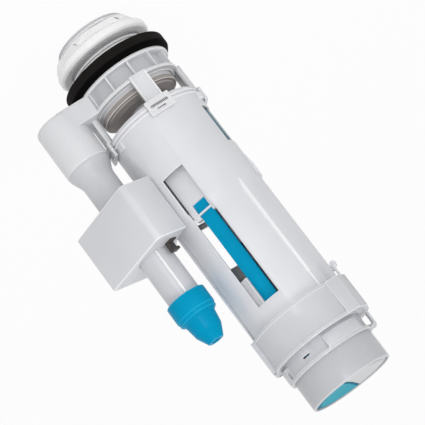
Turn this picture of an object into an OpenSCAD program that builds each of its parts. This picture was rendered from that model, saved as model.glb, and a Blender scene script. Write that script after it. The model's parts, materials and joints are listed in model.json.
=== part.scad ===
// Dual flush valve for a toilet tank, with side overflow pipe and split push button.
// Millimetres, +Z up. The origin is on the outlet axis, in the plane where the gasket meets the flange.
// +X points from the outlet axis to the overflow pipe.

/* [Outlet] */
// Outer radius of the threaded shank (2 inch pipe thread)
shank_r = 29.8; // [27:0.1:32]
// Radius of the outlet bore
outlet_bore_r = 25.6; // [23:0.1:26.5]
// Radius of the throat above the outlet bore
throat_bore_r = 24.8; // [22:0.1:25.4]
// Radius of the plain lead-in at the end of the shank
lead_r = 28.2; // [27:0.1:29.6]
// Length of the shank below the flange
shank_len = 40.8; // [38:0.2:60]
// Radius of the flange above the gasket
flange_r = 38.5; // [37.5:0.1:42]
// Thickness of the flange
flange_t = 2.2; // [1.6:0.1:3]
// Outer radius of the rubber gasket
gasket_r = 42.2; // [41.5:0.1:48]
// Thickness of the gasket
gasket_t = 10.6; // [8:0.2:14]
// Chamfer on the upper edge of the gasket
gasket_chamfer = 3.4; // [1:0.1:4]
// Radius of the round flange of the lock nut
nut_flange_r = 38; // [36.6:0.1:41]
// Corner radius of the six sided grip of the lock nut
nut_grip_r = 37; // [36.6:0.1:37.8]
// Height of the flange of the lock nut
nut_flange_h = 8; // [5:0.1:9]
// Height of the grip of the lock nut
nut_grip_h = 6.4; // [4:0.1:8]
// Free length of shank below the lock nut
nut_end_gap = 5.7; // [3:0.1:8]

/* [Base] */
// Height from the flange to the underside of the lower ring
base_rib_h = 12; // [9:0.5:16]
// Outer radius of the throat wall behind the ribs
throat_r = 32; // [30.5:0.1:33]
// Number of ribs round the throat
rib_count = 12; // [8:1:18]
// Thickness of each rib
rib_t = 1.5; // [1:0.1:2.5]
// Outer radius of the lower ring
ring_r = 36.8; // [36:0.1:37.3]
// Thickness of the lower ring
ring_t = 2.3; // [1.8:0.1:3]
// Radius of the middle of the seat lip
seat_r = 29.2; // [28:0.1:30]
// Height of the seat lip above the lower ring
seat_h = 2.7; // [2:0.1:4]
// Width of each leg
leg_w = 13.2; // [10:0.1:16]
// Height of the legs above the lower ring
leg_h = 21.9; // [18:0.1:28]
// Width of the clip frame at the end of a leg
clip_w = 19.5; // [18:0.1:22]
// Height of the clip frame
clip_h = 9.8; // [9.4:0.1:13]
// Width of the long slot in the clip frame
clip_slot_w = 14; // [11:0.1:15]

/* [Shell] */
// Outer radius of the wide lower part of the shell
shell_r = 37.4; // [37:0.1:37.6]
// Wall of the shell
shell_wall = 1.6; // [1.4:0.1:2]
// Height of the wide part
shell_wide_h = 79.6; // [78:0.2:90]
// Outer radius of the upper column
column_r = 35; // [34.6:0.1:35.2]
// Wall of the column
column_wall = 1.8; // [1.5:0.1:2]
// Height of the column above the wide part
column_h = 99; // [92:0.5:104]
// Width of the front window
window_w = 19; // [16:0.5:20]
// Lower edge of the front window above the bottom of the shell
window_low = 48.4; // [46:0.2:52]
// Height of the front window
window_h = 111; // [90:1:116]
// Height of the window at the side of the base
side_window_h = 32; // [24:1:36]
// Width of the window at the side of the base
side_window_w = 22.5; // [16:0.5:24]
// Height of the back window
back_window_h = 48; // [30:1:60]
// Width of the back window
back_window_w = 17; // [12:0.5:20]

/* [Overflow] */
// Distance from the outlet axis to the overflow pipe
pipe_x = 58.5; // [58.5:0.5:66]
// Outer radius of the overflow pipe
pipe_r = 12.6; // [12:0.1:12.8]
// Wall of the overflow pipe
pipe_wall = 1.8; // [1.4:0.1:2]
// Height of the top of the overflow pipe above the flange
pipe_top = 170; // [164:1:185]
// Radius of the socket of the elbow
socket_r = 17.2; // [16:0.1:17.4]
// Height of the rim of the socket above the flange
socket_top = 41; // [36:0.5:42]
// Height of the bell mouth of the pipe
bell_h = 13; // [11:0.5:18]
// Outer radius of the skirt of the cap
cap_r = 15.4; // [14.4:0.1:16]
// Height of the skirt of the cap
cap_skirt_h = 17; // [14:0.5:20]
// Height of the tapered nozzle of the cap
cap_nozzle_h = 20; // [15:0.5:26]
// Radius of the hole in the nozzle
cap_hole_r = 3.5; // [2.5:0.1:4.5]

/* [Float on the pipe] */
// Width of the box float
float_w = 71; // [62:0.5:73]
// Distance from the pipe axis to the flat outer face
float_front = 18.2; // [17:0.1:21]
// Distance from the pipe axis to the rear face
float_rear = 25; // [20:0.5:27]
// Height of the float
float_h = 46; // [36:0.5:48]
// Height of the lower edge of the float above the flange
float_z = 76.5; // [75:0.5:86]
// Wall of the float
float_wall = 1.8; // [1.4:0.1:2.4]
// Turn of the float about the pipe, in degrees
float_turn = -31.6; // [-35:0.2:-29]

/* [Head] */
// Outer radius of the height collar
collar_r = 37.4; // [37.2:0.1:38]
// Height of the height collar
collar_h = 27; // [25:0.5:32]
// Length of column inside the collar
collar_engage = 6; // [4:0.5:10]
// Reach of the big boss on the collar
boss_reach = 41; // [40.6:0.1:44]
// Outer radius of the wall of the button ring
button_ring_r = 32; // [31.8:0.1:32.4]
// Height of the button ring
button_ring_h = 13.5; // [13:0.1:15]
// Radius of the rim of the button ring
rim_r = 34.3; // [33.9:0.1:36]
// Outer radius of the button housing
housing_r = 31.9; // [31.7:0.1:32.4]
// Wall of the button housing
housing_wall = 1.7; // [1.5:0.1:1.8]
// Height of the button housing
housing_h = 22.3; // [22:0.1:26]
// Travel of each button
button_travel = 5; // [3:0.1:5.2]
// Direction of the split between the buttons, in degrees
split_dir = -66; // [-68:1:-64]

/* [Lift gear] */
// Width of each lift rod
rod_w = 11; // [9:0.1:11.4]
// Thickness of each lift rod
rod_t = 2.6; // [2:0.1:2.8]
// Distance from the axis to the inner face of each rod
rod_in = 26.4; // [26:0.1:26.6]
// Direction of the half flush rod, in degrees
half_dir = -57; // [-59:0.5:-56]
// Direction of the full flush rod, in degrees
full_dir = -160; // [-162:0.5:-158]
// Distance from the axis to the hinge of the rockers
rocker_pivot = 14.5; // [14:0.1:15]
// Width of each rocker
rocker_w = 6; // [4.5:0.1:6.2]
// Radius of the hinge pins of the rockers
pin_r = 1.5; // [1.2:0.05:1.8]

/* [Plunger] */
// Radius of the sealing disc
seal_r = 30.9; // [30.8:0.1:32]
// Thickness of the sealing disc
seal_t = 3.9; // [3:0.1:4.5]
// Outer radius of the spindle
spindle_r = 8; // [7:0.1:9]
// Height of the top of the spindle above the flange
spindle_top = 150; // [135:1:165]
// Radius of the float cup on the spindle
cup_r = 21; // [18:0.1:21.3]
// Height of the float cup
cup_h = 35.7; // [26:0.1:37]

/* [Fits] */
// Gap between sliding pieces
slide_gap = 0.4; // [0.3:0.05:0.6]
// Radial gap of seated round pieces
seat_gap = 0.1; // [0.05:0.01:0.15]
// Radial gap between a hinge pin and its lever
hinge_gap = 0.06; // [0.02:0.01:0.1]
// Radial gap between a hinge pin and the piece that holds it
pin_hold_gap = 0.03; // [0.01:0.01:0.05]

/* [Hidden] */
$fn = 96;
cut = 1;

// Colours of the moulded parts
body_grey = "gainsboro";
head_grey = "lightgray";
flush_blue = "deepskyblue";
rubber_black = "dimgray";
white_plastic = "white";

// Heights of the base
ring_z = flange_t + base_rib_h;
ring_top = ring_z + ring_t;
seat_z = ring_top + seat_h;
shell_z = ring_top + leg_h;
leg_in = ring_r - 2.6;
leg_out = ring_r + 1.8;
leg_edge = 1.2;
leg_recess = 0.9;
clip_in = shell_r + 0.6;
clip_out = clip_in + 2.2;
clip_slot_h = 2.2;
clip_slot_z = shell_z + 2.4;
short_slot_w = 7;
short_slot_h = 1.6;
short_slot_z = clip_slot_z + clip_slot_h + 1.4;
leg_angles = [0, 90, 180, 270];
seat_lip_w = 2;
guard_r = ring_r - 4.2;
guard_half = 0.7;
guard_h = 1.1;
nut_z = -shank_len + nut_end_gap;
nut_bevel = 2;
nut_end_r = nut_flange_r - 4.6;
lead_gap = 0.2;

// Elbow of the overflow
arm_half_w = socket_r - 1.4;
arm_z = 0.4;
socket_round = 3.5;
spigot_r = pipe_r + 0.7;
socket_bore_r = spigot_r + seat_gap;
spigot_len = 19;
spigot_z = socket_top - spigot_len;
channel_r = 5.2;
channel_z = flange_t + channel_r + 0.8;
well_r = pipe_r - pipe_wall;
seal_ring_z = spigot_z + 8;
seal_ring_h = 2.4;
seal_ring_depth = 1.2;
pipe_bore_r = pipe_r - pipe_wall;
pipe_rib_dir = -90;
pipe_rib_z = float_z + 14;
pipe_rib_w = 1.6;
pipe_rib_h = 0.9;
bell_r = socket_r - 0.5;
cap_z = pipe_top - 11;
cap_step = 0.7;
nozzle_low_r = 12;
nozzle_tip_r = 6;

// Clip in the notch of the float
clip_dir = -130;
clip_near = pipe_r + slide_gap + 2.4;
clip_far = clip_near + 7;
clip_half = 3.4;
clip_deep = 5;

// Outline of the float
float_corner = 2;
float_trim = 3.8;
float_near_r = 5;

// Shell
shell_in = shell_r - shell_wall;
column_in = column_r - column_wall;
column_z = shell_z + shell_wide_h;
column_top = column_z + column_h;
ledge_z = column_z - shell_wall;
bead_r = shell_r + 1;
bead_h = 1.5;
bead_zs = [shell_z + 1.1, shell_z + 4.1];
lip_r = shell_r - 0.7;
lip_h = 1.6;
slope_low = column_z - 4;
slope_h = 10;
window_cut = 4;
front_dir = -55.5;
side_dir = -156.5;
side_window_z = shell_z + 16.4;
back_dir = 80;
back_window_z = ledge_z - 12;
rail_dir = 196;
rail_reach = column_r + 1.4;
rail_half = 8.5;
rail_shoulder = column_r + 0.3;
rail_tangent = 38;
ramp_z = column_z - 20;
ramp_reach = column_r + 3.4;
ramp_half = 9;
small_rail_dir = 18;
small_rail_reach = column_r + 1.6;
small_rail_half = 4;
bead_line_dir = -114;
bead_line_r = 1.1;
bead_ridge_r = 1.8;
lug_dirs = [-24, -149];
lug_reaches = [1.2, 2.6];

// Head
collar_z = column_top - collar_engage;
collar_top = collar_z + collar_h;
head_travel = 12;
bead_ridge_top = collar_z - head_travel - 0.5;
collar_in = column_r + slide_gap + 0.1;
collar_deck = 2.2;
deck_bore_r = button_ring_r - 2;
collar_bead = 0.8;
collar_bead_h = 2.2;
boss_half = 9;
boss_bend = [boss_reach - 5.4, 23.4];
boss_root = [26.6, 28.2];
boss_low = collar_z;
boss_top = collar_top;
small_boss_half = 11;
small_boss_reach = collar_r + 1.8;
tongue_r = column_in - slide_gap;
tongue_t = 2.2;
tongue_len = 62;
tongue_half = 4;
tongue_dirs = [-41, 60, 140];
housing_z = collar_top + button_ring_h;
housing_top = housing_z + housing_h;
housing_in = housing_r - housing_wall;
ring_in = deck_bore_r - 0.2;
rim_h = 2.5;
tab_r = button_ring_r + 2.6;
tab_dirs = [-104, 16, 136];
tab_half = 15;
tab_h = 8.6;
deck_t = 2;
deck_top = collar_top + deck_t;
pivot_z = collar_top + 5.5;
ear_t = 2.4;
ear_half = 3.2;
ear_top = pivot_z + 3;
rocker_slot = rocker_w + 1.5;
release_dir = 191;
release_reach = 38.2;
release_half = 6;
mark_slot_dir = -49;

// Buttons
button_r = housing_in - slide_gap;
button_top = housing_top - 0.8;
button_dish = 0.8;
button_bevel = 1.2;
button_plate = 2.2;
button_skirt = 1.6;
button_under = button_top - button_dish - button_plate;
skirt_z = housing_z + 11;
split_gap = 0.3;
post_r = 1.8;
post_radial = 5.5;
post_side = 4;
post_gap = 1.1;
pad_reach = 3.2;
spring_r = 4;
spring_wire = 0.8;
spring_turns = 5;
spring_z = housing_z - 1.5;
spring_gap = 0.05;
guide_pin_r = 2.2;
guide_bore_r = guide_pin_r + slide_gap;
pedestal_r = spring_r + spring_wire + 0.4;
full_spring_at = [14, 14];
half_spring_at = [-12, -13];

// Rockers and rods
rocker_boss_r = pin_r + 1.7;
rocker_t = 3;
rocker_in = 4;
rocker_out = rod_in + rod_t + 0.2;
pin_half = rocker_w / 2 + 0.5 + ear_t;
rod_bar_gap = 0.6;
rod_bar_z = pivot_z + rocker_t / 2 + rod_bar_gap;
rod_top = rod_bar_z + 3.2;
rod_frame = 1.2;
rod_window_low = pivot_z - 5;
half_rod_z = shell_z + 74.3;
carriage_z = shell_z + 44;
carriage_h = 42;
carriage_w = 20;
carriage_in = cup_r + 3.2;
carriage_out = 31.2;
strap_z = carriage_z + carriage_h - 4;
strap_h = 1.3;
full_foot_z = shell_z + 18;
foot_h = 28;
foot_half = 9;
foot_out = shell_in - 0.3;
foot_in = foot_out - 2.1;
foot_block_h = 6;

// Plunger
seal_z = seat_z + seat_gap;
plate_z = seal_z + seal_t;
plate_t = 2.8;
plate_r = seal_r - 2.6;
retainer_r = 20;
retainer_t = 3;
stud_r = 5;
stud_len = seal_t + plate_t + retainer_t + 2;
spindle_z = plate_z + plate_t;
spindle_foot_r = spindle_r + 1.6;
spindle_wall = 2;
cup_wall = 1.5;
cup_z = full_foot_z + foot_block_h + 2 + slide_gap;
cup_flange = 2.4;
cup_flange_h = 2.2;
bush_r = spindle_r + hinge_gap;
bush_wall = 2.6;
bush_low = ledge_z - 8;
bush_top = ledge_z + 2;
spider_ring_h = 4;
spider_dirs = [0, 100, 232];
hook_in = cup_r + 0.8;

// Height pawl
pawl_w = 4.6;
pawl_pin_r = 1;
pawl_u = boss_reach - 2.2;
pawl_z = collar_z + 5;
pawl_t = 1.8;
pawl_low = collar_z - 12;
pawl_slot = 5.2;
pawl_knob_r = 2.6;
pawl_boss_r = 1.9;

// Shared shapes
module tube(r_out, r_in, z0, z1) {
  translate([0, 0, z0]) difference() {
    cylinder(r = r_out, h = z1 - z0);
    translate([0, 0, -cut]) cylinder(r = r_in, h = z1 - z0 + 2 * cut);
  }
}

// Block in the direction dir, from radial distance u0 to u1, half wide to each side
module radial_block(dir, u0, u1, half, z0, z1) {
  rotate([0, 0, dir]) translate([u0, -half, z0]) cube([u1 - u0, 2 * half, z1 - z0]);
}

// Piece of a tube in the direction dir
module tube_piece(dir, r_out, r_in, half, z0, z1) {
  intersection() {
    tube(r_out, r_in, z0, z1);
    radial_block(dir, r_in / 2, r_out + cut, half, z0 - cut, z1 + cut);
  }
}

// Rod of radius r across the direction dir, at radial distance u and height z
module cross_pin(dir, u, z, r, half) {
  rotate([0, 0, dir]) translate([u, half, z]) rotate([90, 0, 0]) cylinder(r = r, h = 2 * half);
}

// Plan of the big rail, with flat flanks that leave the column at a tangent
module rail_plan(extra) {
  side_u = column_r * cos(rail_tangent);
  side_v = column_r * sin(rail_tangent);
  polygon([
    [column_in, -side_v / 2], [side_u + extra, -side_v], [rail_shoulder + extra, -rail_half - 2 - extra],
    [rail_reach + extra, -rail_half - extra], [rail_reach + extra, rail_half + extra],
    [rail_shoulder + extra, rail_half + 2 + extra], [side_u + extra, side_v], [column_in, side_v / 2]
  ]);
}

// Wire coil with flat ends
module coil(r, wire, turns, height) {
  per_turn = 16;
  sides = 6;
  steps = per_turn * turns;
  pitch = (height - 2 * wire) / turns;
  points = [
    for (i = [0 : steps]) for (k = [0 : sides - 1])
      let (a = 360 * i / per_turn, rr = r + wire * cos(360 * k / sides))
      [rr * cos(a), rr * sin(a), wire + pitch * i / per_turn + wire * sin(360 * k / sides)]
  ];
  walls = [
    for (i = [0 : steps - 1]) for (k = [0 : sides - 1])
      let (a = i * sides + k, b = i * sides + (k + 1) % sides)
      [a, a + sides, b + sides, b]
  ];
  first = [[for (k = [0 : sides - 1]) k]];
  last = [[for (k = [sides - 1 : -1 : 0]) steps * sides + k]];
  polyhedron(points = points, faces = concat(walls, first, last), convexity = 6);
}

// Outlet base
module throat() {
  tube(lead_r, throat_bore_r, -shank_len, nut_z);
  tube(shank_r, throat_bore_r, nut_z - lead_gap, flange_t);
  tube(flange_r, throat_bore_r, 0, flange_t);
  tube(throat_r, throat_bore_r, flange_t, ring_top);
  tube(ring_r, throat_bore_r, ring_z, ring_top);
  translate([0, 0, ring_top]) rotate_extrude() polygon([
    [seat_r - seat_lip_w, 0], [seat_r + seat_lip_w / 2 + 0.8, 0],
    [seat_r + seat_lip_w / 2, seat_h], [seat_r - seat_lip_w / 2, seat_h]
  ]);
  translate([0, 0, ring_top]) rotate_extrude() polygon([
    [guard_r - guard_half, -0.5], [guard_r + guard_half, -0.5], [guard_r + guard_half, guard_h - 0.4],
    [guard_r, guard_h], [guard_r - guard_half, guard_h - 0.4]
  ]);
  for (i = [0 : rib_count - 1])
    radial_block(i * 360 / rib_count, throat_r - cut, ring_r - 0.4, rib_t / 2, flange_t - 0.5, ring_z + 0.5);
}

module leg(dir) {
  difference() {
    radial_block(dir, leg_in, leg_out, leg_w / 2, ring_z, shell_z);
    radial_block(dir, leg_out - leg_recess, leg_out + cut, leg_w / 2 - leg_edge, ring_top, shell_z - 2);
  }
  difference() {
    radial_block(dir, clip_in, clip_out, clip_w / 2, shell_z - 1.6, shell_z + clip_h);
    radial_block(
      dir, clip_in - cut, clip_out + cut, clip_slot_w / 2, clip_slot_z, clip_slot_z + clip_slot_h
    );
    radial_block(
      dir, clip_in - cut, clip_out + cut, short_slot_w / 2, short_slot_z, short_slot_z + short_slot_h
    );
  }
}

module elbow() {
  translate([pipe_x, 0, 0]) rotate_extrude() polygon(concat(
    [[0, arm_z]],
    [for (a = [-90 : 15 : 0])
      [socket_r - socket_round + socket_round * cos(a), arm_z + socket_round + socket_round * sin(a)]],
    [[socket_r, socket_top], [0, socket_top]]
  ));
  translate([throat_r - 4, -arm_half_w, arm_z])
    cube([pipe_x - throat_r + 4, 2 * arm_half_w, ring_top - arm_z]);
}

module base() {
  color(body_grey) difference() {
    union() {
      throat();
      for (a = leg_angles) leg(a);
      elbow();
    }
    translate([0, 0, -shank_len - cut]) cylinder(r = outlet_bore_r, h = shank_len + flange_t + cut);
    translate([0, 0, flange_t - cut]) cylinder(r = throat_bore_r, h = base_rib_h + ring_t + 2 * cut);
    translate([pipe_x, 0, spigot_z]) cylinder(r = socket_bore_r, h = spigot_len + cut);
    translate([pipe_x, 0, channel_z]) cylinder(r = well_r, h = spigot_z - channel_z + cut);
    translate([throat_bore_r - 4, 0, channel_z]) rotate([0, 90, 0])
      cylinder(r = channel_r, h = pipe_x - throat_bore_r + 4);
  }
}

module tank_gasket() {
  color(rubber_black) rotate_extrude() polygon([
    [shank_r + seat_gap, -gasket_t], [gasket_r, -gasket_t], [gasket_r, -gasket_chamfer],
    [gasket_r - gasket_chamfer * 0.7, 0], [shank_r + seat_gap, 0]
  ]);
}

module lock_nut() {
  color(white_plastic) difference() {
    union() {
      intersection() {
        translate([0, 0, nut_z]) cylinder(r = nut_grip_r, h = nut_grip_h + 0.5, $fn = 6);
        translate([0, 0, nut_z]) cylinder(r1 = nut_end_r, r2 = nut_flange_r, h = nut_grip_h + 0.6);
      }
      translate([0, 0, nut_z + nut_grip_h]) rotate_extrude() polygon([
        [0, 0], [nut_flange_r - nut_bevel, 0], [nut_flange_r, nut_bevel],
        [nut_flange_r, nut_flange_h - nut_bevel], [nut_flange_r - nut_bevel, nut_flange_h], [0, nut_flange_h]
      ]);
    }
    translate([0, 0, nut_z - cut])
      cylinder(r = shank_r + hinge_gap, h = nut_grip_h + nut_flange_h + 2 * cut);
  }
}

// Shell
module rails() {
  rotate([0, 0, rail_dir]) translate([0, 0, ledge_z]) linear_extrude(column_top - ledge_z) rail_plan(0);
  rotate([0, 0, rail_dir]) translate([0, ramp_half, 0]) rotate([90, 0, 0])
    linear_extrude(2 * ramp_half) polygon([
      [shell_in, ramp_z], [shell_r - 0.3, ramp_z], [ramp_reach, ramp_z + 11], [ramp_reach, column_z - 2],
      [rail_reach, column_z + 0.5], [shell_in, column_z + 0.5]
    ]);
  radial_block(small_rail_dir, column_in + 0.5, small_rail_reach, small_rail_half, ledge_z, column_top);
  rotate([0, 0, bead_line_dir]) translate([column_r, 0, ledge_z])
    cylinder(r = bead_line_r, h = column_top - ledge_z, $fn = 24);
  rotate([0, 0, bead_line_dir]) translate([column_r, 0, slope_low])
    cylinder(r = bead_ridge_r, h = bead_ridge_top - slope_low, $fn = 24);
}

module shell_ring_beads() {
  difference() {
    tube(lip_r, shell_in, shell_z - lip_h, shell_z + 0.5);
    for (a = leg_angles)
      radial_block(
        a, leg_in - cut, leg_out + cut, leg_w / 2 + slide_gap, shell_z - lip_h - cut, shell_z + 0.1
      );
  }
  difference() {
    for (z = bead_zs) tube(bead_r, shell_r - 0.5, z, z + bead_h);
    for (a = leg_angles)
      radial_block(a, shell_r + 0.05, bead_r + cut, clip_w / 2 + slide_gap, shell_z, shell_z + clip_h);
  }
  for (i = [0 : len(lug_dirs) - 1])
    radial_block(lug_dirs[i], shell_r - 0.8, shell_r + lug_reaches[i], 2.6, shell_z + 6, shell_z + 11);
}

module body_shell() {
  color(body_grey) difference() {
    union() {
      translate([0, 0, shell_z]) cylinder(r = shell_r, h = slope_low - shell_z);
      translate([0, 0, slope_low]) cylinder(r1 = shell_r, r2 = column_r, h = slope_h);
      translate([0, 0, column_z - cut]) cylinder(r = column_r, h = column_h + cut);
      rails();
      shell_ring_beads();
      for (a = leg_angles)
        radial_block(
          a, shell_r - 1, clip_out + 0.3, clip_slot_w / 2 - slide_gap,
          clip_slot_z + 0.3, clip_slot_z + clip_slot_h - 0.3
        );
    }
    translate([0, 0, shell_z - cut]) cylinder(r = shell_in, h = ledge_z - shell_z + cut);
    translate([0, 0, ledge_z - cut]) cylinder(r = column_in, h = column_top - ledge_z + 2 * cut);
    radial_block(
      front_dir, rod_in - window_cut, shell_r + window_cut, window_w / 2,
      shell_z + window_low, shell_z + window_low + window_h
    );
    radial_block(
      side_dir, rod_in - window_cut, shell_r + window_cut, side_window_w / 2,
      side_window_z, side_window_z + side_window_h
    );
    radial_block(
      back_dir, rod_in - window_cut, shell_r + window_cut, back_window_w / 2,
      back_window_z, back_window_z + back_window_h
    );
  }
}

module guide_spider() {
  spider_r = shell_in - 0.2;
  color(body_grey) {
    difference() {
      tube(spider_r, column_in - 0.2, ledge_z - spider_ring_h, ledge_z);
      radial_block(
        front_dir, rod_in, shell_r, window_w / 2 + 2, ledge_z - spider_ring_h - cut, ledge_z + cut
      );
    }
    difference() {
      union() {
        tube(bush_r + bush_wall, bush_r, bush_low, bush_top);
        for (a = spider_dirs)
          radial_block(a, bush_r + 1, column_in + 0.6, 1.6, ledge_z - spider_ring_h, ledge_z - 0.5);
      }
      translate([0, 0, bush_low - cut]) cylinder(r = bush_r, h = bush_top - bush_low + 2 * cut);
    }
  }
}

// Overflow
module overflow_pipe() {
  groove_r = spigot_r - seal_ring_depth;
  color(body_grey) translate([pipe_x, 0, 0]) {
    difference() {
      rotate_extrude() polygon([
        [0, spigot_z], [spigot_r, spigot_z], [spigot_r, seal_ring_z], [groove_r, seal_ring_z],
        [groove_r, seal_ring_z + seal_ring_h], [spigot_r, seal_ring_z + seal_ring_h],
        [spigot_r, socket_top], [bell_r, socket_top], [bell_r, socket_top + 2.4],
        [pipe_r + 0.9, socket_top + bell_h - 3], [pipe_r, socket_top + bell_h], [pipe_r, pipe_top],
        [0, pipe_top]
      ]);
      translate([0, 0, spigot_z - cut]) cylinder(r = pipe_bore_r, h = pipe_top - spigot_z + 2 * cut);
    }
    radial_block(
      pipe_rib_dir, pipe_r - 0.6, pipe_r + pipe_rib_h, pipe_rib_w / 2, pipe_rib_z, cap_z - 0.5
    );
  }
}

module overflow_seal() {
  color(rubber_black) translate([pipe_x, 0, 0])
    tube(socket_bore_r - 0.03, spigot_r - seal_ring_depth + 0.03, seal_ring_z + 0.1,
      seal_ring_z + seal_ring_h - 0.1);
}

module overflow_cap() {
  nozzle_z = cap_z + cap_skirt_h;
  color(flush_blue) translate([pipe_x, 0, 0]) difference() {
    rotate_extrude() polygon([
      [0, cap_z], [cap_r, cap_z], [cap_r, nozzle_z - 4], [cap_r - cap_step, nozzle_z - 3],
      [cap_r - cap_step, nozzle_z - 1], [nozzle_low_r, nozzle_z + 1],
      [nozzle_low_r - 1.5, nozzle_z + cap_nozzle_h * 0.55],
      [nozzle_tip_r, nozzle_z + cap_nozzle_h], [0, nozzle_z + cap_nozzle_h]
    ]);
    translate([0, 0, cap_z - cut]) cylinder(r = pipe_r + seat_gap, h = pipe_top - cap_z + cut);
    translate([0, 0, pipe_top - cut]) cylinder(r = cap_hole_r, h = cap_skirt_h + cap_nozzle_h + cut);
  }
}

// Float on the pipe
module float_plan(inset) {
  right = float_w / 2 - inset;
  left = float_w / 2 - float_trim - inset;
  front = float_front - inset;
  rear = float_rear - inset;
  near_r = float_near_r - inset;
  hull() {
    for (p = [
      [front - float_corner, right - float_corner], [float_corner - rear, float_corner - left],
      [float_corner - rear, right - float_corner]
    ]) translate(p) circle(r = float_corner, $fn = 32);
    translate([front - near_r, near_r - left]) circle(r = near_r, $fn = 48);
  }
}

module half_float() {
  float_bore_r = pipe_r + slide_gap;
  clear_r = shell_r + 1.8;
  color(body_grey) difference() {
    union() {
      difference() {
        translate([pipe_x, 0, float_z]) rotate([0, 0, float_turn])
          linear_extrude(float_h) float_plan(0);
        translate([pipe_x, 0, float_z - cut]) rotate([0, 0, float_turn])
          linear_extrude(float_h - float_wall + cut) float_plan(float_wall);
        translate([0, 0, float_z - cut]) cylinder(r = clear_r, h = float_h + 2 * cut);
      }
      intersection() {
        tube(clear_r + float_wall, clear_r, float_z, float_z + float_h);
        translate([pipe_x, 0, float_z]) rotate([0, 0, float_turn])
          linear_extrude(float_h) float_plan(0);
      }
      translate([pipe_x, 0, 0])
        tube(float_bore_r + float_wall, float_bore_r, float_z + 6, float_z + float_h);
    }
    translate([pipe_x, 0, float_z - cut]) cylinder(r = float_bore_r, h = float_h + 2 * cut);
    translate([pipe_x, 0, 0]) radial_block(
      pipe_rib_dir, pipe_r - 1, pipe_r + pipe_rib_h + slide_gap, pipe_rib_w / 2 + slide_gap,
      float_z - cut, float_z + float_h + cut
    );
    translate([pipe_x, 0, 0]) radial_block(
      clip_dir, clip_near, clip_far, clip_half, float_z + float_h - clip_deep, float_z + float_h + cut
    );
  }
}

module float_clip() {
  top = float_z + float_h;
  gap = 0.15;
  color(rubber_black) translate([pipe_x, 0, 0]) {
    radial_block(
      clip_dir, clip_near + gap, clip_far - gap, clip_half - gap, top - clip_deep + gap, top + 1.2
    );
    radial_block(clip_dir, clip_near + gap, clip_near + 3, clip_half - gap, top + 1, top + 7);
    radial_block(clip_dir, clip_near + gap, clip_near + 5, clip_half - gap, top + 6, top + 8);
  }
}

// Head
module collar_channel() {
  translate([0, 0, collar_z - cut])
    cylinder(r = collar_in, h = collar_h - collar_deck + cut);
  rotate([0, 0, rail_dir]) translate([0, 0, collar_z - cut])
    linear_extrude(collar_h - collar_deck + cut) rail_plan(slide_gap + 0.1);
  radial_block(
    small_rail_dir, column_in, small_rail_reach + slide_gap, small_rail_half + slide_gap,
    collar_z - cut, collar_top - collar_deck
  );
  rotate([0, 0, bead_line_dir]) translate([column_r, 0, collar_z - cut])
    cylinder(r = bead_line_r + slide_gap, h = collar_h - collar_deck + cut, $fn = 24);
}

module boss_plan() {
  half_plan = [boss_root, boss_bend, [boss_reach, boss_half]];
  polygon(concat(
    [[20, 20]], half_plan, [for (i = [2 : -1 : 0]) [half_plan[i][0], -half_plan[i][1]]], [[20, -20]]
  ));
}

module height_collar() {
  color(head_grey) {
    difference() {
      union() {
        translate([0, 0, collar_z]) cylinder(r = collar_r, h = collar_h);
        translate([0, 0, collar_z]) cylinder(r = collar_r + collar_bead, h = collar_bead_h);
        translate([0, 0, collar_top - collar_bead_h])
          cylinder(r = collar_r + collar_bead, h = collar_bead_h);
        rotate([0, 0, rail_dir]) translate([0, 0, boss_low]) linear_extrude(boss_top - boss_low) boss_plan();
        radial_block(small_rail_dir, 20, small_boss_reach, small_boss_half, boss_low, boss_top);
      }
      collar_channel();
      translate([0, 0, collar_z]) cylinder(r = deck_bore_r, h = collar_h + cut);
      radial_block(
        rail_dir, rail_reach + 0.2, boss_reach + cut, pawl_slot / 2, collar_z - cut, pawl_z + pawl_boss_r + 1
      );
      cross_pin(rail_dir, pawl_u, pawl_z, pawl_pin_r + pin_hold_gap, pawl_slot / 2 + 3);
    }
    for (a = tongue_dirs)
      tube_piece(
        a, tongue_r, tongue_r - tongue_t, tongue_half, collar_top - tongue_len, collar_top - collar_deck
      );
  }
}

module rocker_station(dir) {
  for (side = [-1, 1]) rotate([0, 0, dir])
    translate([
      rocker_pivot - ear_half,
      side * (rocker_slot / 2 + ear_t / 2) - ear_t / 2,
      collar_top
    ]) cube([2 * ear_half, ear_t, ear_top - collar_top]);
}

module rocker_cut(dir) {
  radial_block(dir, 0.5, ring_in - 0.4, rocker_slot / 2, collar_top - cut, deck_top + cut);
  radial_block(
    dir, rod_in - slide_gap, ring_in - 0.2, rod_w / 2 + slide_gap, collar_top - cut, deck_top + cut
  );
}

// Place in the plane of the buttons: along the split, and across it towards the full button
module button_place(p) {
  rotate([0, 0, split_dir - 90]) translate([p[0], p[1], 0]) children();
}

module half_pad_cut() {
  rotate([0, 0, half_dir]) translate([0.5, 0, collar_top - cut])
    cube([post_radial + post_r + pad_reach, post_side + post_r + 2, deck_t + 2 * cut]);
}

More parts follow.
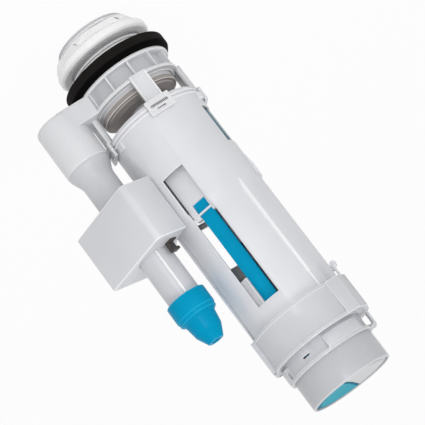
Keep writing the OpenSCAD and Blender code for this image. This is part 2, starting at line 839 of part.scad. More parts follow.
module button_ring() {
  color(head_grey) difference() {
    union() {
      tube(button_ring_r, ring_in, collar_top, housing_z);
      tube(rim_r, ring_in + 1, housing_z - rim_h, housing_z);
      for (a = tab_dirs)
        tube_piece(a, tab_r, ring_in + 1, tab_half, housing_z - rim_h - tab_h, housing_z - rim_h + 0.2);
      translate([0, 0, collar_top]) cylinder(r = ring_in + 1, h = deck_t);
      rocker_station(full_dir);
      rocker_station(half_dir);
      for (at = [full_spring_at, half_spring_at])
        button_place(at) translate([0, 0, collar_top]) cylinder(r = pedestal_r, h = spring_z - collar_top);
      radial_block(release_dir, ring_in + 1, release_reach, release_half, housing_z - rim_h, housing_z - 0.5);
      radial_block(
        release_dir, release_reach - 1.6, release_reach, release_half, collar_top + 2, housing_z - 0.5
      );
    }
    rocker_cut(full_dir);
    rocker_cut(half_dir);
    half_pad_cut();
    for (at = [full_spring_at, half_spring_at])
      button_place(at) translate([0, 0, deck_top]) cylinder(r = guide_bore_r, h = spring_z);
    cross_pin(full_dir, rocker_pivot, pivot_z, pin_r + pin_hold_gap, pin_half + cut);
    cross_pin(half_dir, rocker_pivot, pivot_z, pin_r + pin_hold_gap, pin_half + cut);
    radial_block(mark_slot_dir, ring_in - cut, tab_r, 3.3, collar_top + 5.2, collar_top + 6.5);
  }
}

module button_housing() {
  chamfer = 0.7;
  color(head_grey) translate([0, 0, housing_z]) rotate_extrude() polygon([
    [housing_in, 0], [housing_r, 0], [housing_r, housing_h - chamfer], [housing_r - chamfer, housing_h],
    [housing_in, housing_h]
  ]);
}

module rocker_pins() {
  color(white_plastic) {
    cross_pin(full_dir, rocker_pivot, pivot_z, pin_r, pin_half);
    cross_pin(half_dir, rocker_pivot, pivot_z, pin_r, pin_half);
  }
}

module button_spring(at) {
  color("silver") button_place(at) translate([0, 0, spring_z + spring_gap])
    coil(spring_r, spring_wire / 2, spring_turns, button_under - spring_z - 2 * spring_gap);
}

module full_button_spring() {
  button_spring(full_spring_at);
}

module half_button_spring() {
  button_spring(half_spring_at);
}

// Half moon button on one side of the split: side 1 is the full flush, side -1 the half flush
module half_moon(side) {
  depth = button_r + cut;
  shift = side > 0 ? split_gap : -split_gap - depth;
  intersection() {
    union() {
      rotate_extrude() polygon([
        [0, button_under], [0, button_top - button_dish], [button_r - 3.3, button_top],
        [button_r - button_bevel, button_top], [button_r, button_top - button_bevel], [button_r, skirt_z],
        [button_r - button_skirt, skirt_z], [button_r - button_skirt, button_under]
      ]);
      rotate([0, 0, split_dir - 90])
        translate([side > 0 ? split_gap : -split_gap - button_skirt, -button_r + 3, skirt_z])
        cube([button_skirt, 2 * button_r - 6, button_under - skirt_z + 0.5]);
    }
    rotate([0, 0, split_dir - 90]) translate([shift, -depth, skirt_z - cut])
      cube([depth, 2 * depth, button_top - skirt_z + 2 * cut]);
  }
}

module button_post(dir, u, v) {
  low = pivot_z + rocker_t / 2 + post_gap;
  rotate([0, 0, dir]) translate([u, v, low]) cylinder(r = post_r, h = button_under + 0.5 - low);
}

module button_guide(at) {
  low = deck_top + button_travel + 1;
  button_place(at) translate([0, 0, low]) cylinder(r = guide_pin_r, h = button_under + 0.5 - low);
}

module full_button() {
  color(head_grey) {
    half_moon(1);
    button_post(full_dir, post_radial, 0);
    button_guide(full_spring_at);
  }
}

module half_button() {
  color(flush_blue) {
    half_moon(-1);
    button_post(half_dir, post_radial, post_side);
    button_guide(half_spring_at);
  }
}

// Rockers
module rocker(dir, pad) {
  color(white_plastic) difference() {
    union() {
      cross_pin(dir, rocker_pivot, pivot_z, rocker_boss_r, rocker_w / 2);
      radial_block(
        dir, rocker_in, rocker_out, rocker_w / 2, pivot_z - rocker_t / 2, pivot_z + rocker_t / 2
      );
      rotate([0, 0, dir]) translate([rocker_in, 0, pivot_z - rocker_t / 2])
        cube([post_radial + post_r + 0.6 - rocker_in, rocker_w / 2 + pad, rocker_t]);
    }
    cross_pin(dir, rocker_pivot, pivot_z, pin_r + hinge_gap, rocker_w / 2 + cut);
  }
}

module full_rocker() {
  rocker(full_dir, 0);
}

module half_rocker() {
  rocker(half_dir, post_side + post_r - rocker_w / 2);
}

// Lift rods, each with a frame at the top that the rocker reaches through
module lift_rod(dir, low) {
  difference() {
    radial_block(dir, rod_in, rod_in + rod_t, rod_w / 2, low, rod_top);
    radial_block(
      dir, rod_in - cut, rod_in + rod_t + cut, rod_w / 2 - rod_frame, rod_window_low, rod_bar_z
    );
  }
}

module full_lift_rod() {
  color(flush_blue) {
    lift_rod(full_dir, full_foot_z + 2);
    tube_piece(full_dir, foot_out, foot_in, foot_half, full_foot_z, full_foot_z + foot_h);
    radial_block(
      full_dir, hook_in, foot_in + 0.6, rod_w / 2, full_foot_z + 2, full_foot_z + 2 + foot_block_h
    );
  }
}

module half_lift_rod() {
  color(flush_blue) lift_rod(half_dir, half_rod_z);
}

module half_carriage() {
  slot_half = rod_w / 2 + seat_gap;
  color(body_grey) {
    difference() {
      radial_block(
        half_dir, carriage_in, carriage_out, carriage_w / 2, carriage_z, carriage_z + carriage_h
      );
      radial_block(
        half_dir, rod_in - seat_gap, carriage_out + cut, slot_half, half_rod_z,
        carriage_z + carriage_h + cut
      );
      radial_block(
        half_dir, carriage_in - cut, rod_in - 0.8, carriage_w / 2 - 1.5, carriage_z - cut,
        carriage_z + carriage_h - 6
      );
    }
    radial_block(
      half_dir, rod_in + rod_t + seat_gap, carriage_out, carriage_w / 2, strap_z, strap_z + strap_h
    );
  }
}

// Plunger
module spindle() {
  color(body_grey) {
    tube(spindle_r, spindle_r - spindle_wall, spindle_z + 2, spindle_top);
    translate([0, 0, spindle_z]) cylinder(r = spindle_foot_r, h = 2.4);
    translate([0, 0, spindle_z - stud_len]) cylinder(r = stud_r, h = stud_len + cut);
  }
}

module seal_plate() {
  color(body_grey) difference() {
    rotate_extrude() polygon([
      [0, plate_z], [plate_r, plate_z], [plate_r, plate_z + 1.4], [plate_r - 6, spindle_z], [0, spindle_z]
    ]);
    translate([0, 0, plate_z - cut]) cylinder(r = stud_r + seat_gap, h = plate_t + 2 * cut);
  }
}

module seal_washer() {
  color(rubber_black) tube(seal_r, stud_r + seat_gap, seal_z, plate_z);
}

module seal_retainer() {
  color(body_grey) tube(retainer_r, stud_r + seat_gap, seal_z - retainer_t, seal_z);
}

module full_flush_float() {
  top = cup_z + cup_h;
  color(body_grey) rotate_extrude() polygon([
    [cup_r - cup_wall, cup_z], [cup_r + cup_flange, cup_z], [cup_r + cup_flange, cup_z + cup_flange_h],
    [cup_r, cup_z + cup_flange_h], [cup_r, top - 3], [cup_r - 3, top],
    [spindle_r + 0.05, top], [spindle_r + 0.05, cup_z + 4], [spindle_r + cup_wall, cup_z + 4],
    [spindle_r + cup_wall, top - cup_wall], [cup_r - 3 - cup_wall, top - cup_wall],
    [cup_r - cup_wall, top - 3 - cup_wall]
  ]);
}

// Height pawl on the big boss
module height_pawl() {
  half = pawl_w / 2;
  color(white_plastic) difference() {
    union() {
      cross_pin(rail_dir, pawl_u, pawl_z, pawl_boss_r, half);
      radial_block(rail_dir, pawl_u - pawl_t / 2, pawl_u + pawl_t / 2, half, pawl_low, pawl_z);
      cross_pin(rail_dir, pawl_u + 0.6, pawl_low + 0.6, pawl_knob_r, half);
      radial_block(rail_dir, rail_reach + 0.3, pawl_u, half - 0.4, pawl_low + 3, pawl_low + 4.6);
    }
    cross_pin(rail_dir, pawl_u, pawl_z, pawl_pin_r + hinge_gap, half + cut);
  }
}

module pawl_pin() {
  color(white_plastic) cross_pin(rail_dir, pawl_u, pawl_z, pawl_pin_r, pawl_slot / 2 + 2.6);
}

base();
tank_gasket();
lock_nut();
body_shell();
guide_spider();
overflow_pipe();
overflow_seal();
overflow_cap();
half_float();
float_clip();
height_collar();
button_ring();
button_housing();
rocker_pins();
full_button_spring();
half_button_spring();
height_pawl();
pawl_pin();
full_button();
half_button();
full_rocker();
half_rocker();
full_lift_rod();
half_lift_rod();
half_carriage();
spindle();
seal_plate();
seal_washer();
seal_retainer();
full_flush_float();
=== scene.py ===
import json
import math
import bpy
import bmesh
from mathutils import Matrix, Vector

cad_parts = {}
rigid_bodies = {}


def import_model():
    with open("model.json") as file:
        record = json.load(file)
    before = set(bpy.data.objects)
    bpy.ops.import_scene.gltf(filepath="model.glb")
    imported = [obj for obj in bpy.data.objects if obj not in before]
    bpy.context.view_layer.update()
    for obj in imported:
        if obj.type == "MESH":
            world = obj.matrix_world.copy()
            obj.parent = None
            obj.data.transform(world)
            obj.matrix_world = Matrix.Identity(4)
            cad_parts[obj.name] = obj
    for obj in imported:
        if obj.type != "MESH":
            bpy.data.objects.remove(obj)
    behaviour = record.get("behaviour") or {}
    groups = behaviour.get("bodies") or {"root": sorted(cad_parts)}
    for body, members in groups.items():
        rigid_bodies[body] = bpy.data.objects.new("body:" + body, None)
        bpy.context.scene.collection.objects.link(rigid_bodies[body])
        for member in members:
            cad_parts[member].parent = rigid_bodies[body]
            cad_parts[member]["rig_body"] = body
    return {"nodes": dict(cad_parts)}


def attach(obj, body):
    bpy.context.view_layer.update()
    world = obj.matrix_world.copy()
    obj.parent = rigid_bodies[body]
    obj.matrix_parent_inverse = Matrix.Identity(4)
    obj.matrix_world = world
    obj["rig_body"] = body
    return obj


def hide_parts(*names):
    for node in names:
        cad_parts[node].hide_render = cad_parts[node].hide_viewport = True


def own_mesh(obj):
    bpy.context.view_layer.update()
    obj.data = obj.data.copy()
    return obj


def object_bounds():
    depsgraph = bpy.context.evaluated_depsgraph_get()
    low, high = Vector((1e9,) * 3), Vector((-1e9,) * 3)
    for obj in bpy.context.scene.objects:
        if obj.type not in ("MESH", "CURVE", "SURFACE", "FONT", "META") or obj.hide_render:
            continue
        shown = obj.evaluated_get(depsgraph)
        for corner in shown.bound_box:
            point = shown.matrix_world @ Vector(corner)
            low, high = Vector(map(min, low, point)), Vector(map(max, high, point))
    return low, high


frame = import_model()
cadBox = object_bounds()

scene = bpy.context.scene
nodes = frame["nodes"]
mm = 0.001
print("frame loaded with", len(nodes), "nodes")

# camera of the photo: the valve lies head down, so the camera is rolled
shot = {"azimuth": 16.0, "elevation": 14.3, "distance": 1.25, "lens": 150.4, "roll": 142.92,
        "target": (0.0054, 0.0015, 0.118), "sensor": 36.0, "clip": (0.02, 50.0)}


def makeCamera():
    a, e, roll = (math.radians(shot[k]) for k in ("azimuth", "elevation", "roll"))
    back = Vector((math.sin(a) * math.cos(e), -math.cos(a) * math.cos(e), math.sin(e)))
    side = (-back).cross(Vector((0, 0, 1))).normalized()
    up = side.cross(-back)
    right = side * math.cos(roll) + up * math.sin(roll)
    top = up * math.cos(roll) - side * math.sin(roll)
    data = bpy.data.cameras.new("photoCamera")
    data.lens = shot["lens"]
    data.sensor_width = shot["sensor"]
    data.clip_start, data.clip_end = shot["clip"]
    cam = bpy.data.objects.new("photoCamera", data)
    scene.collection.objects.link(cam)
    turned = Matrix((right, top, back)).transposed().to_4x4()
    cam.matrix_world = Matrix.Translation(Vector(shot["target"]) + back * shot["distance"]) @ turned
    scene.camera = cam
    return right, top, back


rightAxis, topAxis, backAxis = makeCamera()
print("camera placed")


def setSpan(node, span, scale=1.0):
    for name, value in zip(("From Min", "From Max"), span):
        node.inputs[name].default_value = value * scale


def mixColours(tree, share, first, second, blend="MIX"):
    mix = tree.nodes.new("ShaderNodeMix")
    mix.data_type, mix.blend_type = "RGBA", blend
    tree.links.new(share, mix.inputs["Factor"])
    tree.links.new(first, mix.inputs["A"])
    if isinstance(second, tuple):
        mix.inputs["B"].default_value = (*second, 1)
    else:
        tree.links.new(second, mix.inputs["B"])
    return mix.outputs["Result"]


# shared effect: moulded skin with slow tint changes, satin patches, a fine grain and edges painted pale as highlights
skin = {
    "patchDetail": 3.0, "patchSpan": (0.38, 0.66), "grainDetail": 2.0, "grainSpan": (0.3, 0.7), "bump": 0.0002,
    "sockets": {
        "INPUT": {"Tint": "NodeSocketColor", "Deep Tint": "NodeSocketColor", "Edge Tint": "NodeSocketColor",
                  "Patch Size": "NodeSocketFloat", "Grain Size": "NodeSocketFloat", "Gloss Low": "NodeSocketFloat",
                  "Gloss High": "NodeSocketFloat", "Grain Depth": "NodeSocketFloat"},
        "OUTPUT": {"Color": "NodeSocketColor", "Roughness": "NodeSocketFloat", "Normal": "NodeSocketVector"},
    },
}


def makeSkinGroup():
    group = bpy.data.node_groups.new("mouldedSkin", "ShaderNodeTree")
    for way, sockets in skin["sockets"].items():
        for name, kind in sockets.items():
            group.interface.new_socket(name, in_out=way, socket_type=kind)
    new, link = group.nodes.new, group.links.new
    inside, out = new("NodeGroupInput"), new("NodeGroupOutput")
    place = new("ShaderNodeTexCoord")
    patch, grain = new("ShaderNodeTexNoise"), new("ShaderNodeTexNoise")
    patch.inputs["Detail"].default_value = skin["patchDetail"]
    grain.inputs["Detail"].default_value = skin["grainDetail"]
    for noise, size in ((patch, "Patch Size"), (grain, "Grain Size")):
        link(place.outputs["Object"], noise.inputs["Vector"])
        link(inside.outputs[size], noise.inputs["Scale"])
    spread = new("ShaderNodeMapRange")
    setSpan(spread, skin["patchSpan"])
    link(patch.outputs["Fac"], spread.inputs["Value"])
    tint = mixColours(group, spread.outputs["Result"], inside.outputs["Tint"], inside.outputs["Deep Tint"])
    # painted highlight: faces marked on convex edges are mixed toward the edge highlight tint
    edge = new("ShaderNodeAttribute")
    edge.attribute_name = "paintedEdgeHighlight"
    paintedHighlight = mixColours(group, edge.outputs["Fac"], tint, inside.outputs["Edge Tint"])
    gloss = new("ShaderNodeMapRange")
    setSpan(gloss, skin["grainSpan"])
    link(grain.outputs["Fac"], gloss.inputs["Value"])
    link(inside.outputs["Gloss Low"], gloss.inputs["To Min"])
    link(inside.outputs["Gloss High"], gloss.inputs["To Max"])
    bump = new("ShaderNodeBump")
    bump.inputs["Distance"].default_value = skin["bump"]
    link(inside.outputs["Grain Depth"], bump.inputs["Strength"])
    link(grain.outputs["Fac"], bump.inputs["Height"])
    link(paintedHighlight, out.inputs["Color"])
    link(gloss.outputs["Result"], out.inputs["Roughness"])
    link(bump.outputs["Normal"], out.inputs["Normal"])
    return group


skinGroup = makeSkinGroup()

# finishes: tint and its deeper patches, gloss range, depth and fineness of the grain, patch size, specular level;
# some have a tint for edges painted pale as highlights, a paler rim painted as light, a darker chamfer painted as
# shade, or are metal
greyPlastic = {"gloss": (0.27, 0.37), "grain": 0.07, "size": 1600, "patch": 26, "specular": 0.4}
bluePlastic = {"grain": 0.05, "size": 1400, "patch": 34}
finishes = {
    "bodyGrey": {**greyPlastic, "tint": (0.735, 0.74, 0.77), "deep": (0.705, 0.71, 0.74), "edge": (0.94, 0.94, 0.95)},
    # painted shade: baseGrey is the body's grey plastic made darker for the shade on the base's webs and elbow; its rim
    # tint brings the outer rim back up as painted light
    "baseGrey": {**greyPlastic, "tint": (0.60, 0.605, 0.63), "deep": (0.57, 0.575, 0.60), "edge": (0.96, 0.96, 0.965),
                 "rim": (0.745, 0.75, 0.772)},
    "pipeGrey": {**greyPlastic, "tint": (0.63, 0.635, 0.665), "deep": (0.60, 0.605, 0.635),
                 "edge": (0.96, 0.96, 0.965)},
    # painted shade: headGrey and housingGrey are the grey plastic made darker for the shade on the head
    "headGrey": {**greyPlastic, "tint": (0.615, 0.625, 0.655), "deep": (0.585, 0.595, 0.625), "patch": 30,
                 "edge": (0.9, 0.9, 0.91)},
    "housingGrey": {**greyPlastic, "tint": (0.535, 0.545, 0.57), "deep": (0.505, 0.515, 0.54), "gloss": (0.25, 0.35),
                    "grain": 0.06, "patch": 24, "edge": (0.77, 0.77, 0.785)},
    "nutWhite": {"tint": (0.985, 0.985, 0.985), "deep": (0.965, 0.965, 0.97), "gloss": (0.3, 0.4), "grain": 0.08,
                 "size": 1500, "patch": 30, "specular": 0.42},
    "flushBlue": {**bluePlastic, "tint": (0.0, 0.33, 0.565), "deep": (0.0, 0.305, 0.53), "gloss": (0.2, 0.3),
                  "specular": 0.05, "edge": (0.01, 0.4, 0.66)},
    "buttonBlue": {**bluePlastic, "tint": (0.03, 0.43, 0.55), "deep": (0.025, 0.40, 0.52), "gloss": (0.42, 0.56),
                   "specular": 0.03},
    "rimBlue": {**bluePlastic, "tint": (0.0, 0.2, 0.31), "deep": (0.0, 0.18, 0.28), "gloss": (0.4, 0.5),
                "specular": 0.03},
    "deepBlue": {**bluePlastic, "tint": (0.0, 0.13, 0.19), "deep": (0.0, 0.11, 0.165), "gloss": (0.3, 0.4),
                 "specular": 0.05},
    "blackRubber": {"tint": (0.012, 0.01, 0.01), "deep": (0.016, 0.0135, 0.0135), "gloss": (0.6, 0.8), "grain": 0.35,
                    "size": 1100, "patch": 60, "specular": 0.03, "chamfer": (0.002, 0.002, 0.002)},
    "sealRubber": {"tint": (0.5, 0.45, 0.44), "deep": (0.43, 0.385, 0.37), "gloss": (0.5, 0.68), "grain": 0.25,
                   "size": 1200, "patch": 40, "specular": 0.3},
    "paleSeal": {"tint": (0.4, 0.365, 0.345), "deep": (0.34, 0.31, 0.295), "gloss": (0.5, 0.68), "grain": 0.2,
                 "size": 1200, "patch": 40, "specular": 0.3, "edge": (0.92, 0.9, 0.88)},
    "threadShade": {"tint": (0.34, 0.34, 0.355), "deep": (0.3, 0.3, 0.315), "gloss": (0.5, 0.65), "grain": 0.1,
                    "size": 1500, "patch": 40, "specular": 0.2},
    "darkClip": {"tint": (0.07, 0.062, 0.06), "deep": (0.045, 0.04, 0.038), "gloss": (0.4, 0.55), "grain": 0.15,
                 "size": 1400, "patch": 60, "specular": 0.3},
    "springSteel": {"tint": (0.60, 0.60, 0.61), "deep": (0.48, 0.48, 0.50), "gloss": (0.2, 0.34), "grain": 0.2,
                    "size": 1800, "patch": 120, "specular": 0.5, "metal": 1.0},
}

# painted light: the outer rims of the base and its overflow elbow are paled where light falls on them: distances from
# the axis in mm, turn in degrees
rimLight = {"rim": (35.8, 36.3), "elbowTurn": 18.6, "elbow": (34.0, 36.0)}


def addPaintedRimLight(tree, colour, tint):
    new, link = tree.nodes.new, tree.links.new
    place = new("ShaderNodeTexCoord")
    flat, reach, along = (new("ShaderNodeVectorMath") for i in range(3))
    flat.operation, reach.operation, along.operation = "MULTIPLY", "LENGTH", "DOT_PRODUCT"
    turn = math.radians(rimLight["elbowTurn"])
    flat.inputs[1].default_value = (1, 1, 0)
    along.inputs[1].default_value = (math.cos(turn), math.sin(turn), 0)
    outer, elbow = new("ShaderNodeMapRange"), new("ShaderNodeMapRange")
    setSpan(outer, rimLight["rim"], mm)
    setSpan(elbow, rimLight["elbow"], mm)
    both = new("ShaderNodeMath")
    both.operation = "MAXIMUM"
    link(place.outputs["Object"], flat.inputs[0])
    link(flat.outputs["Vector"], reach.inputs[0])
    link(flat.outputs["Vector"], along.inputs[0])
    link(reach.outputs["Value"], outer.inputs["Value"])
    link(along.outputs["Value"], elbow.inputs["Value"])
    link(outer.outputs["Result"], both.inputs[0])
    link(elbow.outputs["Result"], both.inputs[1])
    return mixColours(tree, both.outputs[0], colour, tint, "LIGHTEN")


# painted shade: the chamfer of the rubber gasket is painted blacker than its side: height of the change in mm
chamferShade = (-3.9, -3.2)


def addChamferShade(tree, colour, tint):
    place, split = tree.nodes.new("ShaderNodeTexCoord"), tree.nodes.new("ShaderNodeSeparateXYZ")
    above = tree.nodes.new("ShaderNodeMapRange")
    setSpan(above, chamferShade, mm)
    tree.links.new(place.outputs["Object"], split.inputs["Vector"])
    tree.links.new(split.outputs["Z"], above.inputs["Value"])
    return mixColours(tree, above.outputs["Result"], colour, tint)


def makeFinish(name, spec):
    mat = bpy.data.materials.new(name)
    mat.use_nodes = True
    tree = mat.node_tree
    shader = tree.nodes["Principled BSDF"]
    coat = tree.nodes.new("ShaderNodeGroup")
    coat.node_tree = skinGroup
    coat.inputs["Tint"].default_value = (*spec["tint"], 1)
    coat.inputs["Deep Tint"].default_value = (*spec["deep"], 1)
    coat.inputs["Edge Tint"].default_value = (*spec.get("edge", spec["tint"]), 1)
    coat.inputs["Patch Size"].default_value = spec["patch"]
    coat.inputs["Grain Size"].default_value = spec["size"]
    coat.inputs["Gloss Low"].default_value, coat.inputs["Gloss High"].default_value = spec["gloss"]
    coat.inputs["Grain Depth"].default_value = spec["grain"]
    colour = coat.outputs["Color"]
    if "rim" in spec:
        colour = addPaintedRimLight(tree, colour, spec["rim"])
    if "chamfer" in spec:
        colour = addChamferShade(tree, colour, spec["chamfer"])
    tree.links.new(colour, shader.inputs["Base Color"])
    tree.links.new(coat.outputs["Roughness"], shader.inputs["Roughness"])
    tree.links.new(coat.outputs["Normal"], shader.inputs["Normal"])
    shader.inputs["Specular IOR Level"].default_value = spec["specular"]
    shader.inputs["Metallic"].default_value = spec.get("metal", 0.0)
    mat.diffuse_color = (*spec["tint"], 1)
    return mat


finish = {name: makeFinish(name, spec) for name, spec in finishes.items()}
print("finishes made:", len(finish))


def addPiece(bm, name, body, look, shadeAngle=32.0):
    mesh = bpy.data.meshes.new(name)
    bm.to_mesh(mesh)
    bm.free()
    mesh.materials.append(finish[look])
    mesh.polygons.foreach_set("use_smooth", [True] * len(mesh.polygons))
    mesh.set_sharp_from_angle(angle=math.radians(shadeAngle))
    piece = bpy.data.objects.new(name, mesh)
    scene.collection.objects.link(piece)
    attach(piece, body)
    return piece


mergeDistance = 0.002 * mm


def copyNode(nodeName):
    bm = bmesh.new()
    bm.from_mesh(nodes[nodeName].data)
    bmesh.ops.remove_doubles(bm, verts=bm.verts, dist=mergeDistance)
    return bm


def replaceNode(bm, prefix, nodeName, look, shadeAngle):
    piece = addPiece(bm, prefix + nodeName, nodes[nodeName]["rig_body"], look, shadeAngle)
    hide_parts(nodeName)
    return piece


# moulded pieces get soft edges: node, edge radius in mm, finish
softPieces = {
    "base": (0.36, "baseGrey"), "lock_nut": (0.5, "nutWhite"), "body_shell": (0.3, "bodyGrey"),
    "overflow_pipe": (0.3, "pipeGrey"), "overflow_cap": (0.5, "flushBlue"), "half_float": (0.9, "bodyGrey"),
    "height_collar": (0.35, "headGrey"), "button_ring": (0.25, "headGrey"), "button_housing": (0.25, "housingGrey"),
    "height_pawl": (0.2, "bodyGrey"), "full_button": (0.3, "housingGrey"), "half_button": (0.3, "rimBlue"),
    "full_lift_rod": (0.25, "deepBlue"), "half_lift_rod": (0.25, "flushBlue"), "half_carriage": (0.25, "bodyGrey"),
    "tank_gasket": (0.5, "blackRubber"), "float_clip": (0.2, "darkClip"), "seal_washer": (0.4, "paleSeal"),
    "full_flush_float": (0.3, "bodyGrey"),
}

# angles of the softening in degrees: edges to soften, faces that count as flat, bends that count toward the painted
# edge highlight, shading
softAngles = {"sharp": 32.0, "flat": 0.2, "bend": 8.0, "shade": 40.0}

# the float's wide soft edge runs round its outside only, clear of the pipe's bore: distances in mm
outerOnly = {"half_float": {"axisX": 58.5, "reach": 17.0, "facing": 0.01}}

# raised lips, ribs and beads painted pale as highlights: reach from an axis and height in mm, turn in degrees, share of
# the painted highlight
highlitFaces = {
    "legLips": {"node": "base", "reach": (38.7, 39.3), "height": (18.0, 33.0), "share": 0.9},
    "clipFronts": {"node": "base", "reach": (40.0, 41.3), "height": (36.0, 46.5), "share": 0.5},
    "shellBeads": {"node": "body_shell", "reach": (38.0, 38.6), "height": (36.0, 46.0), "share": 0.6},
    "shellRidge": {"node": "body_shell", "reach": (35.3, 37.0), "height": (125.0, 235.0), "turn": (-119.0, -109.0),
                   "share": 0.6},
    "pipeRib": {"node": "overflow_pipe", "axisX": 58.5, "reach": (12.75, 13.9), "height": (90.0, 215.0),
                "turn": (-97.0, -83.0), "share": 0.95},
}
highlightFacing = 0.4  # least share of a pale face's normal that points away from the axis


def markHighlitFaces(bm, paintedHighlight, spec):
    lowTurn, highTurn = spec.get("turn", (-180.0, 180.0))
    for face in bm.faces:
        spot = face.calc_center_median() / mm - Vector((spec.get("axisX", 0.0), 0, 0))
        reach, turn = math.hypot(spot.x, spot.y), math.degrees(math.atan2(spot.y, spot.x))
        outward = (face.normal.x * spot.x + face.normal.y * spot.y) / max(reach, mm)
        if (outward > highlightFacing and spec["reach"][0] < reach < spec["reach"][1] and lowTurn <= turn <= highTurn
                and spec["height"][0] < spot.z < spec["height"][1]):
            face[paintedHighlight] = max(face[paintedHighlight], spec["share"])


def isOuter(edge, spec):
    spot = (edge.verts[0].co + edge.verts[1].co) / (2 * mm) - Vector((spec["axisX"], 0, 0))
    outward = sum(face.normal.x * spot.x + face.normal.y * spot.y for face in edge.link_faces)
    return edge.is_convex and outward > spec["facing"] and math.hypot(spot.x, spot.y) > spec["reach"]


def softenNode(nodeName, radius, look):
    sharpAngle, flatAngle, bendAngle = (math.radians(softAngles[k]) for k in ("sharp", "flat", "bend"))
    bm = copyNode(nodeName)
    paintedHighlight = bm.faces.layers.float.new("paintedEdgeHighlight")
    if nodeName in outerOnly:  # whole flat faces, so the wide edge leaves no slivers
        bmesh.ops.dissolve_limit(bm, angle_limit=flatAngle, use_dissolve_boundaries=False, verts=bm.verts,
                                 edges=bm.edges)
    sharp = [e for e in bm.edges if len(e.link_faces) == 2 and e.calc_face_angle(0.0) > sharpAngle
             and (nodeName not in outerOnly or isOuter(e, outerOnly[nodeName]))]
    made = bmesh.ops.bevel(bm, geom=sharp, offset=radius * mm, offset_type="OFFSET", affect="EDGES", segments=2,
                           profile=0.5, material=-1, clamp_overlap=False, loop_slide=True)
    bm.normal_update()
    for face in made["faces"]:  # painted highlight: outer edges are painted pale, inner corners aren't
        bends = [e for e in face.edges if e.calc_face_angle(0.0) > bendAngle]
        face[paintedHighlight] = float(2 * sum(e.is_convex for e in bends) > len(bends))
    for spec in highlitFaces.values():
        if spec["node"] == nodeName:
            markHighlitFaces(bm, paintedHighlight, spec)
    replaceNode(bm, "soft_", nodeName, look, softAngles["shade"])


for nodeName, (radius, look) in softPieces.items():
    softenNode(nodeName, radius, look)
print("moulded pieces softened:", len(softPieces))

# inner pieces keep the solid's own mesh
innerLooks = {"guide_spider": "bodyGrey", "overflow_seal": "blackRubber", "rocker_pins": "springSteel",
              "pawl_pin": "springSteel", "full_rocker": "nutWhite", "half_rocker": "nutWhite",
              "spindle": "bodyGrey", "seal_plate": "sealRubber", "seal_retainer": "bodyGrey"}
for nodeName, look in innerLooks.items():
    mesh = nodes[nodeName].data
    mesh.materials.clear()
    mesh.materials.append(finish[look])
print("inner pieces finished:", len(innerLooks))

# return springs copied in spring steel, with the press of their buttons in mm and the joint of each
springs = {"press": 5.0, "shade": 50.0, "joints": {"full_button_spring": "full_button_press",
                                                   "half_button_spring": "half_button_press"}}


def addSpring(nodeName):
    bm = copyNode(nodeName)
    piece = replaceNode(bm, "coil_", nodeName, "springSteel", springs["shade"])
    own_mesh(piece)


for nodeName, joint in springs["joints"].items():
    addSpring(nodeName)

# thread on the bare stretches of the shank, in mm: pitch of a 2 inch pipe thread, and a thin skin in its roots painted
# darker as shade, with crests in the white finish as painted light
thread = {"pitch": 2.309, "width": 1.75, "top": 0.7, "rise": 0.7, "sink": 0.2, "steps": 64, "shade": 30.0,
          "skinSink": 0.1, "skinRise": 0.05, "skinSteps": 96, "skinMerge": 0.001}
threadSpans = {
    "upperThread": {"root": 29.8, "low": -20.5, "high": -10.9, "crest": "nutWhite", "groove": "threadShade"},
    "lowerThread": {"root": 28.2, "low": -40.6, "high": -35.4, "crest": "nutWhite", "groove": "pipeGrey"},
}


def addOutline(bm, corners):
    verts = [bm.verts.new((r * mm, 0, z * mm)) for r, z in corners]
    return verts + [bm.edges.new((verts[i], verts[(i + 1) % len(verts)])) for i in range(len(verts))]


def cutThread(name, span):
    bm = bmesh.new()
    foot, crest, low = span["root"] - thread["sink"], span["root"] + thread["rise"], span["low"]
    outline = addOutline(bm, [(foot, low), (crest, low + (thread["width"] - thread["top"]) / 2),
                              (crest, low + (thread["width"] + thread["top"]) / 2), (foot, low + thread["width"])])
    climb = span["high"] - low - thread["width"]
    turns = climb / thread["pitch"]
    steps = int(turns * thread["steps"])
    bmesh.ops.spin(bm, geom=outline, cent=(0, 0, 0), axis=(0, 0, 1), dvec=(0, 0, climb * mm / steps),
                   angle=math.tau * turns, steps=steps, use_merge=False, use_duplicate=False)
    bmesh.ops.holes_fill(bm, edges=bm.edges, sides=4)
    bmesh.ops.recalc_face_normals(bm, faces=bm.faces)
    addPiece(bm, name, "valve_body", span["crest"], thread["shade"])


def addThreadRootShade(name, span):
    bm = bmesh.new()
    inner, outer = span["root"] - thread["skinSink"], span["root"] + thread["skinRise"]
    outline = addOutline(bm, [(inner, span["low"]), (outer, span["low"]), (outer, span["high"]), (inner, span["high"])])
    bmesh.ops.spin(bm, geom=outline, cent=(0, 0, 0), axis=(0, 0, 1), angle=math.tau, steps=thread["skinSteps"],
                   use_merge=True, use_duplicate=False)
    bmesh.ops.remove_doubles(bm, verts=bm.verts, dist=thread["skinMerge"] * mm)
    bmesh.ops.recalc_face_normals(bm, faces=bm.faces)
    addPiece(bm, name, "valve_body", span["groove"])


for name, span in threadSpans.items():
    cutThread(name, span)
    addThreadRootShade(name + "Root", span)
print("thread cut")

# fine bars in the long slot of each clip frame and a dark skin behind them as painted shade: sizes are depth, width and
# height in mm
clipTurns = (0, 90, 180, 270)
clipBars = {"count": 11, "size": (0.5, 0.5, 1.3), "pitch": 1.15, "reach": 40.6, "height": 41.9}
clipShade = {"size": (0.2, 12.8, 1.5), "reach": 40.45, "height": 41.9}


def addBlock(bm, turn, across, spec):
    place = Matrix.Rotation(math.radians(turn), 4, "Z") @ Matrix.Translation(
        Vector((spec["reach"], across, spec["height"])) * mm) @ Matrix.Diagonal((*(s * mm for s in spec["size"]), 1))
    bmesh.ops.create_cube(bm, size=1.0, matrix=place)


